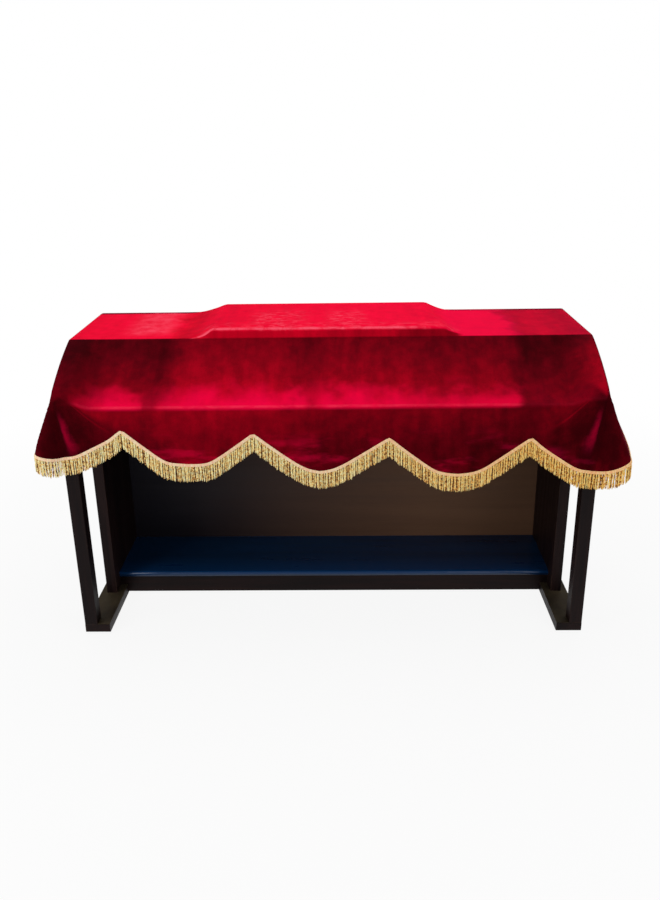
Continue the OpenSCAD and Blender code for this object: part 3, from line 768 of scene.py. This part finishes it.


# velvet

# painted light and shade of the velvet, 0 dark to 1 bright, by place across the table in metres: the top
# brightest, the upstand, slope and falls darker, as the pile's sheen shows under the lamps; the changes
# across are partly the pile's own lie
pileShading = {
    "top": [(-0.80, 0.86), (-0.64, 0.92), (-0.48, 0.95), (-0.42, 0.74), (-0.34, 0.82), (-0.20, 0.88),
            (0.10, 0.92), (0.34, 0.86), (0.44, 0.90), (0.51, 0.86), (0.55, 0.54), (0.62, 0.66), (0.70, 0.56),
            (0.80, 0.58)],
    "upstand": [(-0.42, 0.84), (-0.33, 0.66), (-0.10, 0.70), (0.08, 0.60), (0.18, 0.66), (0.24, 0.48),
                (0.42, 0.46)],
    "slope": [(-0.80, 0.16), (-0.70, 0.22), (-0.62, 0.32), (-0.54, 0.34), (-0.47, 0.28), (-0.40, 0.48),
              (-0.16, 0.50), (-0.08, 0.39), (0.00, 0.44), (0.10, 0.43), (0.18, 0.44), (0.30, 0.39),
              (0.48, 0.39), (0.54, 0.23), (0.68, 0.26), (0.76, 0.46)],
    # a painted light low on the slope, where the cloth turns up towards the ledge
    "strip": [(-0.80, 0.0), (-0.71, 0.0), (-0.65, 0.45), (-0.60, 0.95), (-0.55, 0.85), (-0.51, 0.25),
              (-0.48, 0.25), (-0.43, 0.75), (-0.36, 1.0), (-0.12, 0.95), (-0.06, 0.35), (0.00, 0.95),
              (0.16, 0.75), (0.26, 0.55), (0.48, 0.6), (0.55, 0.06), (0.80, 0.06)],   # low on the slope
    "fall": [(-0.80, 0.20), (-0.71, 0.28), (-0.66, 0.46), (-0.52, 0.38), (-0.40, 0.48), (-0.14, 0.45),
             (-0.06, 0.38), (0.06, 0.36), (0.30, 0.36), (0.42, 0.31), (0.56, 0.28), (0.62, 0.32),
             (0.80, 0.28)],
    # a painted magenta sheen, low on the slope and on the top
    "magentaSheen": [(-0.80, 0.25), (-0.48, 0.25), (-0.43, 0.0), (-0.32, 0.25), (0.30, 0.45), (0.38, 1.0),
                (0.52, 0.9), (0.58, 0.3), (0.80, 0.3)],
    "reachOfRamps": 0.9,          # to each side of the middle, for the lists above
    # painted shade at the deck's edge and painted light low on the slope; painted light at the ledge and
    # painted shade low on the fall
    "downSlope": (-0.08, 0.09),   # added at the deck's edge, and low on the slope
    "downFall": (0.04, -0.10),    # added at the ledge, and low on the fall
    # the strip low on the slope is a painted light, the back edge a painted shade, the hem streaks a painted
    # highlight and the ends a painted shade
    "stripShade": 0.88, "backEdgeShade": 0.20, "hemHighlight": 0.30, "ends": (0.14, 0.34),
    "colours": [(0.00, (0.022, 0.0, 0.001)), (0.15, (0.045, 0.0, 0.0018)), (0.30, (0.110, 0.0, 0.004)),
                (0.48, (0.26, 0.0001, 0.0070)), (0.70, (0.56, 0.0002, 0.014)), (0.90, (0.88, 0.0002, 0.022)),
                (1.00, (0.98, 0.0008, 0.033))],
    "magentaColour": (0.90, 0.0002, 0.060), "magentaShare": 0.75, "magentaTop": 0.8,
    # the colour of the painted highlights on the corner folds and low on the front fall, and how much of it
    # low on the fall
    "highlightColour": (0.24, 0.0, 0.030), "hemHighlightShare": 0.45,
    "paleColour": (0.98, 0.090, 0.150),
}
# painted shade round each front nose, the same on both, darkest at the corners, with a painted highlight
# streak and a fine pale line fanning down; the shade goes by degrees from straight down, the rest by shares
# of a half turn
noseShading = {
    "noseUp": 0.014,              # the folds start this far up the slope from the nose
    "foldRise": 0.9,              # how steeply the front fold climbs to it, laid flat
    "paintedShade": [(-82, 0.34), (-68, 0.33), (-46, 0.20), (-30, 0.16), (-8, 0.07), (14, 0.12), (40, 0.24),
            (75, 0.20)],
    "reach": (0.235, 0.175), "frontEdge": (0.175, 0.115),
    "noseHighlight": ((0.366, 0.424), (0.476, 0.428)), "streakReach": ((0.04, 0.11), (0.205, 0.13)),
    "streakLight": 0.40, "streakHighlightShare": 0.40,
    "drawn": (0.180, 0.012, 0.002), "drawnReach": ((0.03, 0.07), (0.19, 0.11)), "drawnLight": 0.12,
}
# crushed pile and painted sheen: pale wisps and a patch on the top, and a painted highlight along the riser's
# fold and the ledge crease, partly rubbed pile; the three numbers are the middle, where it ends and where it
# is full
crushAndSheen = {
    "sheenStreaks": [(-0.15, 0.11, 0.03), (0.05, 0.08, 0.02)], "wisps": 0.65,
    "patch": (-0.535, 0.095, 0.02), "patchPale": (0.10, 0.55),
    "riserEdge": ((-0.0013, -0.0003), (0.0050, 0.0010)), "edgeTurn": 0.18, "edgeEnd": (0.30, 0.20),
    "crease": (0.004 - bridgeLength, 0.0055, 0.0015), "creaseShare": 0.22,
}


def acrossRamp(s, stops):
    # a ramp whose stops are given in metres across the table
    reach = pileShading["reachOfRamps"]
    share = plus(times(s, 0.5 / reach), 0.5)
    return ramp(share, [((place + reach) / (2 * reach), value) for place, value in stops])


def band(value, middle, gone, full):
    return fade(maths("ABSOLUTE", minus(value, middle)), gone, full)


def cornerShading(s, t, patchy, fallShade):
    # distance from the nearer front nose, the painted shade round it, and the painted highlight streak in
    # that
    out = minus(maths("ABSOLUTE", s), deckHalf)
    away = minus(noseShading["noseUp"] - rakeLength, t)
    far = maths("SQRT", plus(times(out, out), times(away, away)))
    angle = plus(times(maths("ARCTAN2", out, away), 1 / math.pi), 0.5)
    paintedShade = ramp(angle, [((degrees + 90) / 180, value) for degrees, value in noseShading["paintedShade"]])
    bent = plus(angle, fade(patchy, 0.25, 0.75, -0.012, 0.012))
    noseHighlight = times(between(bent, *noseShading["noseHighlight"]), between(far, *noseShading["streakReach"]))
    drawn = times(band(angle, *noseShading["drawn"]), between(far, *noseShading["drawnReach"]))
    paintedShade = plus(paintedShade, times(noseHighlight, noseShading["streakLight"]), times(drawn, noseShading["drawnLight"]))
    return far, mixValue(fade(angle, *noseShading["frontEdge"]), paintedShade, fallShade), noseHighlight


def crushedPileAndSheen(s, t, strip, patchy, crushed, onRiser):
    # painted sheen as pale wisps behind the riser's front fold and a patch on the left, partly crushed pile,
    # and a painted highlight along the folds, partly rubbed pile
    sheenStreaks = most(*(band(s, *sheenStreak) for sheenStreak in crushAndSheen["sheenStreaks"]))
    sheenStreaks = times(sheenStreaks, fade(t, riserFoldT + 0.26, riserFoldT + 0.14))
    sheenStreaks = most(sheenStreaks, fade(t, riserFoldT + 0.07, riserFoldT + 0.02, 0.0, 0.5))
    wisps = times(fade(crushed, 0.46, 0.64), sheenStreaks, onRiser)
    patch = times(band(s, *crushAndSheen["patch"]), fade(t, 0.02, 0.08))
    pale = most(times(patch, fade(patchy, 0.3, 0.7, *crushAndSheen["patchPale"])), times(wisps, crushAndSheen["wisps"]))
    past = most(minus(riser["left"], s), 0.0)
    fromEdge = minus(t, minus(riserFoldT, times(past, crushAndSheen["edgeTurn"])))
    rubbedAndHighlight = times(between(fromEdge, *crushAndSheen["riserEdge"]),
                   between(s, (riser["left"] - 0.07, riser["left"] - 0.04), crushAndSheen["edgeEnd"]))
    rubbedAndHighlight = most(rubbedAndHighlight, times(band(t, *crushAndSheen["crease"]), strip, crushAndSheen["creaseShare"]))
    return most(pale, times(rubbedAndHighlight, fade(crushed, 0.38, 0.58, 0.30, 1.0)))


def velvetMaterial():
    material, tree = newMaterial("crimsonVelvet")
    laid = makeNode(tree, "ShaderNodeUVMap", uv_map="flat").outputs[0]
    soft = noiseOf(laid, 9.0, 3, 0.55)
    brushed = noiseOf(stretched(laid, (30.0, 6.0, 1.0)), 1.0, 3, 0.55)
    patchy = noiseOf(laid, 26.0, 3, 0.6)
    crushed = noiseOf(stretched(laid, (1.0, 2.6, 1.0)), 30.0, 6, 0.7, 0.8)
    fine = noiseOf(objectPlace(tree), 700.0, 2, 0.6)
    s, t = partsOf(laid)[:2]
    shifted = plus(s, fade(soft, 0.2, 0.8, -0.030, 0.030))
    across = {name: acrossRamp(shifted, pileShading[name])
              for name in ("top", "upstand", "slope", "strip", "fall", "magentaSheen")}

    # where each part of the cloth is
    onTop = fade(t, -0.002, 0.002)
    onFall = fade(t, -bridgeLength + 0.003, -bridgeLength - 0.007)
    riserWide = between(s, (riser["left"] - 0.06, riser["left"] - 0.01),
                        (riser["right"] + 0.09, riser["right"] + 0.06))
    upstand = times(riserWide, fade(t, riserFoldT, riserFoldT - 0.003))
    hanging = most(fade(maths("ABSOLUTE", s), deckHalf - 0.004, deckHalf + 0.004),
                   fade(t, deckDepth - 0.010, deckDepth - 0.002))

    # painted light and shade: how bright each part shows, the upstand darker than the top
    topShade = mixValue(upstand, across["top"], across["upstand"])
    stripStart = fade(soft, 0.3, 0.7, -0.135, -0.185)
    lowSlope = times(across["strip"], fade(minus(t, stripStart), 0.010, -0.100), without(onFall))
    slopeShade = plus(across["slope"], fade(t, 0.0, -0.20, *pileShading["downSlope"]))
    paintedShade = mixValue(onTop, mixValue(lowSlope, slopeShade, pileShading["stripShade"]), topShade)
    # a painted shade along the back edge, where the cloth turns down
    backEdgeShade = times(fade(t, deckDepth - 0.030, deckDepth - 0.016), without(riserWide))
    paintedShade = mixValue(backEdgeShade, paintedShade, pileShading["backEdgeShade"])
    # painted highlight streaks low on the front fall, towards the hem
    hemHighlight = fade(noiseOf(stretched(laid, (5.0, 17.0, 1.0)), 1.0, 4, 0.6), 0.50, 0.70)
    lowFall = times(hemHighlight, fade(t, -0.30, -0.37))
    fallShade = plus(across["fall"], fade(t, -bridgeLength, -bridgeLength - 0.13, *pileShading["downFall"]),
                    times(lowFall, pileShading["hemHighlight"]))
    # painted shade and painted highlights round the front noses
    noseFar, cornerShade, noseHighlight = cornerShading(s, t, patchy, fallShade)
    steep = noseShading["foldRise"]
    aboveFold = plus(t, times(maths("ABSOLUTE", s), steep), bridgeLength - steep * deckHalf)
    belowNose = fade(aboveFold, 0.016, -0.004)
    onFall = most(onFall, times(belowNose, fade(noseFar, 0.12, 0.02)))
    nearNose = times(fade(noseFar, *noseShading["reach"]), onFall)
    paintedShade = mixValue(onFall, paintedShade, mixValue(nearNose, fallShade, cornerShade))
    # the falls at the table's ends painted darker, a painted shade
    endShade = fade(soft, 0.25, 0.75, *pileShading["ends"])
    paintedShade = mixValue(hanging, paintedShade, mixValue(nearNose, endShade, cornerShade))
    for unevenness, reach in ((brushed, 0.04), (patchy, 0.05), (fine, 0.03)):
        paintedShade = plus(paintedShade, fade(unevenness, 0.25, 0.75, -reach, reach), clamp=True)

    colour = ramp(paintedShade, pileShading["colours"], "LINEAR")
    # painted highlights in a magenta colour on the corner folds and low on the front fall
    hemHighlightShare = times(lowFall, onFall, fade(nearNose, 1.0, 0.2), pileShading["hemHighlightShare"])
    foldHighlight = most(times(noseHighlight, nearNose, noseShading["streakHighlightShare"]), hemHighlightShare)
    colour = blendColour(foldHighlight, colour, pileShading["highlightColour"])
    # a painted magenta sheen, low on the slope and on the top
    magentaSheen = most(lowSlope, times(onTop, without(upstand), across["magentaSheen"], pileShading["magentaTop"]))
    magentaSheen = times(magentaSheen, without(hanging), pileShading["magentaShare"])
    colour = blendColour(magentaSheen, colour, pileShading["magentaColour"])
    onRiser = times(riserWide, minus(onTop, upstand))
    # pale crushed pile and painted sheen, with painted highlights along the folds
    pale = crushedPileAndSheen(s, t, across["strip"], patchy, crushed, onRiser)
    colour = blendColour(times(pale, without(hanging)), colour, pileShading["paleColour"])
    height = plus(times(fine, 0.5), times(crushed, 0.5))
    surface(tree, Base_Color=colour, Roughness=0.85, Normal=bumpOf(height, 0.35, 0.0012),
            Specular_IOR_Level=0.02, Sheen_Weight=0.10, Sheen_Roughness=0.35, Sheen_Tint=(1.0, 0.03, 0.16, 1))
    return material


velvet.data.materials.append(velvetMaterial())
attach(velvet, "cloth")
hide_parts("velvet_cloth")


# the woven heading along the hem

heading = {
    "wide": 0.0072, "beyondHem": 0.001,
    "stitch": 0.0032,        # length of one braid turn
    "stepsPerStitch": 2, "rows": 8,
    "proud": 0.0007, "relief": 0.0008, "inner": 0.0007, "seed": 12,
}


def goldMaterial(name, look):
    # strand holds a shade for each cord across and the place along it downwards
    material, tree = newMaterial(name)
    strand = makeNode(tree, "ShaderNodeUVMap", uv_map="strand").outputs[0]
    place = objectPlace(tree)
    drift = plus(partsOf(place)[0], times(noiseOf(place, 5.0, 2), 0.6))
    threads = noiseOf(place, look["threads"], 2, 0.6)
    # the twist noise paints highlight and shade along each twisted cord
    twist = noiseOf(stretched(strand, (910.0, look["turns"], 0.0)), 1.0, 1)
    tone = plus(partsOf(strand)[0], fade(twist, 0.3, 0.7, -look["mottle"], look["mottle"]), clamp=True)
    colour = ramp(tone, look["shades"], "LINEAR")
    colour = blendColour(fade(drift, -0.1, 1.1, 0.0, 0.85), colour, look["warm"], "MULTIPLY")
    colour = blendColour(fade(threads, 0.35, 0.7, 0.0, look["shade"]), colour, look["shadow"])
    surface(tree, Base_Color=colour, Roughness=fade(threads, 0.3, 0.7, 0.42, 0.58),
            Normal=bumpOf(threads, 0.4, 0.0005), Specular_IOR_Level=0.3)
    return material


goldLooks = {
    "braid": {"shades": [(0.0, (0.96, 0.50, 0.32)), (0.5, (1.0, 0.68, 0.42)), (1.0, (1.0, 0.86, 0.58))],
              "warm": (1.0, 0.80, 0.50), "shadow": (0.70, 0.32, 0.16), "threads": 900.0, "shade": 0.16,
              "turns": 3.0, "mottle": 0.15},
    "bullion": {"shades": [(0.0, (0.14, 0.044, 0.008)), (0.22, (0.68, 0.35, 0.09)), (0.5, (1.0, 0.69, 0.25)),
                           (0.8, (1.0, 0.83, 0.35)), (1.0, (1.0, 0.94, 0.54))],
                "warm": (1.0, 0.77, 0.38), "shadow": (0.50, 0.22, 0.06), "threads": 1100.0, "shade": 0.14,
                "turns": 8.0, "mottle": 0.46},
}


def hemStations(spacing, outset=0.0):
    # evenly spaced places along the hem as it hangs, given on the flat cloth
    ring = hemCut(outset)
    base = hemCut()
    hung, _ = drape(base)
    run = runAlong(np.concatenate([hung, hung[:1]]))
    count = int(run[-1] / spacing)
    at = (np.arange(count) + 0.5) * run[-1] / count
    looped = np.concatenate([ring, ring[:1]])
    return np.stack([np.interp(at, run, looped[:, k]) for k in (0, 1)], 1), at


def buildHeading():
    spacing = heading["stitch"] / heading["stepsPerStitch"]
    rowsAcross = np.linspace(-heading["wide"], heading["beyondHem"], heading["rows"])
    outside = hang["thickness"] + heading["proud"]
    loops = []
    _, at = hemStations(spacing)
    turn = 2 * math.pi * at / heading["stitch"]
    for k, outset in enumerate(rowsAcross):
        place, _ = hemStations(spacing, outset)
        across = (outset + heading["wide"]) / (heading["wide"] + heading["beyondHem"])
        slant = 2.4 * abs(across - 0.5) * math.pi + (math.pi if across < 0.5 else 0)
        strands = 0.5 + 0.5 * np.cos(turn + slant)
        crown = math.sin(math.pi * min(1, max(0, across))) ** 0.5
        lift = heading["relief"] * crown * strands * (0.35 if k in (0, len(rowsAcross) - 1) else 1)
        hung, outwards = drape(place, outside)
        loops.append(hung + outwards * lift[:, None])
    for outset in (heading["beyondHem"], -heading["wide"] * 0.5, -heading["wide"]):
        place, _ = hemStations(spacing, outset)
        loops.append(drape(place, -heading["inner"])[0])
    count, rounds = len(at), len(loops)
    points = np.stack(loops, 1).reshape(-1, 3)
    faces = [(i * rounds + k, i * rounds + (k + 1) % rounds, ((i + 1) % count) * rounds + (k + 1) % rounds,
              ((i + 1) % count) * rounds + k) for i in range(count) for k in range(rounds)]
    stitch = np.floor(at / heading["stitch"]).astype(int)
    shade = np.random.default_rng(heading["seed"]).uniform(0.25, 0.9, stitch.max() + 1)[stitch]
    uv = np.stack([np.repeat(shade, rounds), np.tile(np.linspace(0, 1, rounds), count)], 1)
    return addMesh("wovenHeading", points, faces, uv, "strand")


braid = buildHeading()
braid.data.materials.append(goldMaterial("goldBraid", goldLooks["braid"]))
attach(braid, "cloth")
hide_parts("fringe_heading")
report(f"heading woven, {len(braid.data.vertices)} points")


# the bullion fringe

fringe = {
    "spacing": 0.0029, "long": 0.0500, "uneven": 0.0012, "thick": 0.00140,
    "rings": 12, "sides": 6, "twist": 0.0075,   # one full turn of the two plies
    "plies": 0.28, "tip": 0.55,   # how deep the twist is, and how thick the end
    "tuck": 0.003,           # hidden behind the heading
    # the darker cords set behind stand in for the shade in the gaps between bunches, a painted shade
    "innerAfter": [2, 3, 3, 4],   # after this many cords one is thicker, darker and hangs behind
    "inner": 0.0026, "innerThick": 1.30,
    "shades": {"inner": (0.0, 0.14), "outer": (0.46, 1.0)},
    "bunch": 0.14,           # how far the shade drifts from one bunch of cords to the next
    "clump": 0.0013,         # how far neighbouring cords lean together
    "stray": 0.0008, "seed": 41,
}


def buildFringe():
    rng = np.random.default_rng(fringe["seed"])
    place, at = hemStations(fringe["spacing"])
    root, outwards = drape(place, hang["thickness"] * 0.5)
    count, rings, sides = len(place), fringe["rings"], fringe["sides"]
    inner = np.isin(np.arange(count), np.cumsum(rng.choice(fringe["innerAfter"], count)))
    root = root - outwards * (fringe["inner"] * inner)[:, None]
    long = fringe["long"] + rng.normal(0, fringe["uneven"], count)
    thick = fringe["thick"] * rng.uniform(0.88, 1.12, count) * np.where(inner, fringe["innerThick"], 1.0)
    sway = rng.normal(0, fringe["stray"], (count, 2))
    gather = np.stack([np.sin(at * 290.0 + 2.0 * np.sin(at * 37.0)), np.sin(at * 34.0 + 0.4)], 1)
    sway += fringe["clump"] * gather
    curl = rng.normal(0, fringe["stray"] * 0.5, (count, 2))
    start = rng.uniform(0, 2 * math.pi, count)
    down = np.linspace(0, 1, rings)
    depth = long[:, None] * down[None] - fringe["tuck"]
    centre = root[:, None, :] + np.zeros((count, rings, 3))
    centre[:, :, 2] -= depth
    fallen = down[None, :, None]
    centre[:, :, :2] += sway[:, None] * fallen ** 1.5 + curl[:, None] * np.sin(fallen * math.pi)
    around = np.arange(sides) * 2 * math.pi / sides
    turned = start[:, None, None] + 2 * math.pi * depth[:, :, None] / fringe["twist"]
    plies = 1 + fringe["plies"] * np.cos(2 * (around - turned))
    taper = np.where(down < 0.999, 1.0, fringe["tip"])
    radius = thick[:, None, None] * plies * taper[None, :, None]
    points = np.repeat(centre[:, :, None, :], sides, axis=2)
    points[..., 0] += radius * np.cos(around)
    points[..., 1] += radius * np.sin(around)
    faces = []
    for c in range(count):
        first = c * rings * sides
        for k in range(rings - 1):
            a, b = first + k * sides, first + (k + 1) * sides
            faces += [(a + j, b + j, b + (j + 1) % sides, a + (j + 1) % sides) for j in range(sides)]
        faces.append(tuple(first + j for j in range(sides)))
        faces.append(tuple(first + (rings - 1) * sides + j for j in reversed(range(sides))))
    uv = np.zeros((count, rings, sides, 2))
    (darkLow, darkHigh), (paleLow, paleHigh) = fringe["shades"]["inner"], fringe["shades"]["outer"]
    # inner cords take a dark shade, a painted shade for the gaps between the bunches
    shade = np.where(inner, rng.uniform(darkLow, darkHigh, count), rng.uniform(paleLow, paleHigh, count))
    shade = np.clip(shade + fringe["bunch"] * np.sin(at * 210.0 + 3.0 * np.sin(at * 23.0)), 0, 1)
    uv[..., 0] = shade[:, None, None]
    uv[..., 1] = down[None, :, None]
    return addMesh("bullionFringe", points.reshape(-1, 3), faces, uv.reshape(-1, 2), "strand"), count


cords, cordCount = buildFringe()
cords.data.materials.append(goldMaterial("goldBullion", goldLooks["bullion"]))
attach(cords, "cloth")
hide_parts("fringe_skirt")
report(f"fringe knotted, {cordCount} cords")


def flatSize():
    ring = hemCut()
    square = ring @ turnedBy(-cut["askew"])
    wide, long = square.max(axis=0) - square.min(axis=0)
    following = np.roll(ring, -1, axis=0)
    area = abs((ring[:, 0] * following[:, 1] - following[:, 0] * ring[:, 1]).sum()) / 2
    return (round(float(wide), 3), round(float(long), 3)), round(float(area), 3)


clothSize, clothArea = flatSize()
report(f"cloth cut to {clothSize} m, {clothArea} square metres")


# room and light

room = {
    "floorSize": 14.0, "floorTone": 0.80,
    "floorGlow": 0.90,         # how far the camera sees the floor as plain white
    "fadeFrom": 0.9, "fadeTo": 2.6,
    "ambient": 0.42,
    "overhead": {"power": 36, "size": (3.4, 2.2), "place": (0.1, 0.5, 2.9), "aim": (0.0, 0.0, 0.6)},
    "key": {"power": 36, "size": (1.4, 1.4), "place": (-2.8, -2.0, 1.2), "aim": (0.0, 0.0, 0.5)},
    "fill": {"power": 20, "size": (1.8, 1.8), "place": (2.4, -2.4, 1.5), "aim": (0.1, 0.0, 0.4)},
}


def makeFloor():
    half = room["floorSize"] / 2
    corners = [(-half, -half, 0), (half, -half, 0), (half, half, 0), (-half, half, 0)]
    floor = addMesh("floor", corners, [(0, 1, 2, 3)])
    material, tree = newMaterial("paleFloor")
    tone = room["floorTone"]
    plain = makeNode(tree, "ShaderNodeBsdfDiffuse", {"Color": (tone, tone, tone, 1)})
    white = makeNode(tree, "ShaderNodeEmission", {"Color": (1, 1, 1, 1)})
    away = vectorMaths("LENGTH", objectPlace(tree), result="Value")
    glow = fade(away, room["fadeFrom"], room["fadeTo"], room["floorGlow"], 1.0)
    path = makeNode(tree, "ShaderNodeLightPath").outputs
    seen = most(path["Is Camera Ray"], path["Is Glossy Ray"])
    mixed = makeNode(tree, "ShaderNodeMixShader",
                     {0: times(seen, glow), 1: plain.outputs[0], 2: white.outputs[0]})
    makeNode(tree, "ShaderNodeOutputMaterial", {"Surface": mixed.outputs[0]})
    floor.data.materials.append(material)


def makeWorld():
    world = bpy.data.worlds.new("studio")
    world.use_nodes = True
    tree = world.node_tree
    tree.nodes.clear()
    path = makeNode(tree, "ShaderNodeLightPath").outputs
    seen = blendColour(path["Is Camera Ray"], (room["ambient"],) * 3, (1, 1, 1))
    back = makeNode(tree, "ShaderNodeBackground", {"Color": seen})
    makeNode(tree, "ShaderNodeOutputWorld", {"Surface": back.outputs[0]})
    scene.world = world


def makeLamp(name):
    lamp = room[name]
    data = bpy.data.lights.new(name, "AREA")
    data.energy = lamp["power"]
    data.shape = "RECTANGLE"
    data.size, data.size_y = lamp["size"]
    obj = bpy.data.objects.new(name, data)
    obj.location = lamp["place"]
    facing = Vector(lamp["aim"]) - Vector(lamp["place"])
    obj.rotation_euler = facing.to_track_quat("-Z", "Y").to_euler()
    scene.collection.objects.link(obj)


makeFloor()
makeWorld()
for lampName in ("overhead", "key", "fill"):
    makeLamp(lampName)
scene.view_settings.view_transform = "Standard"
report("room lit")
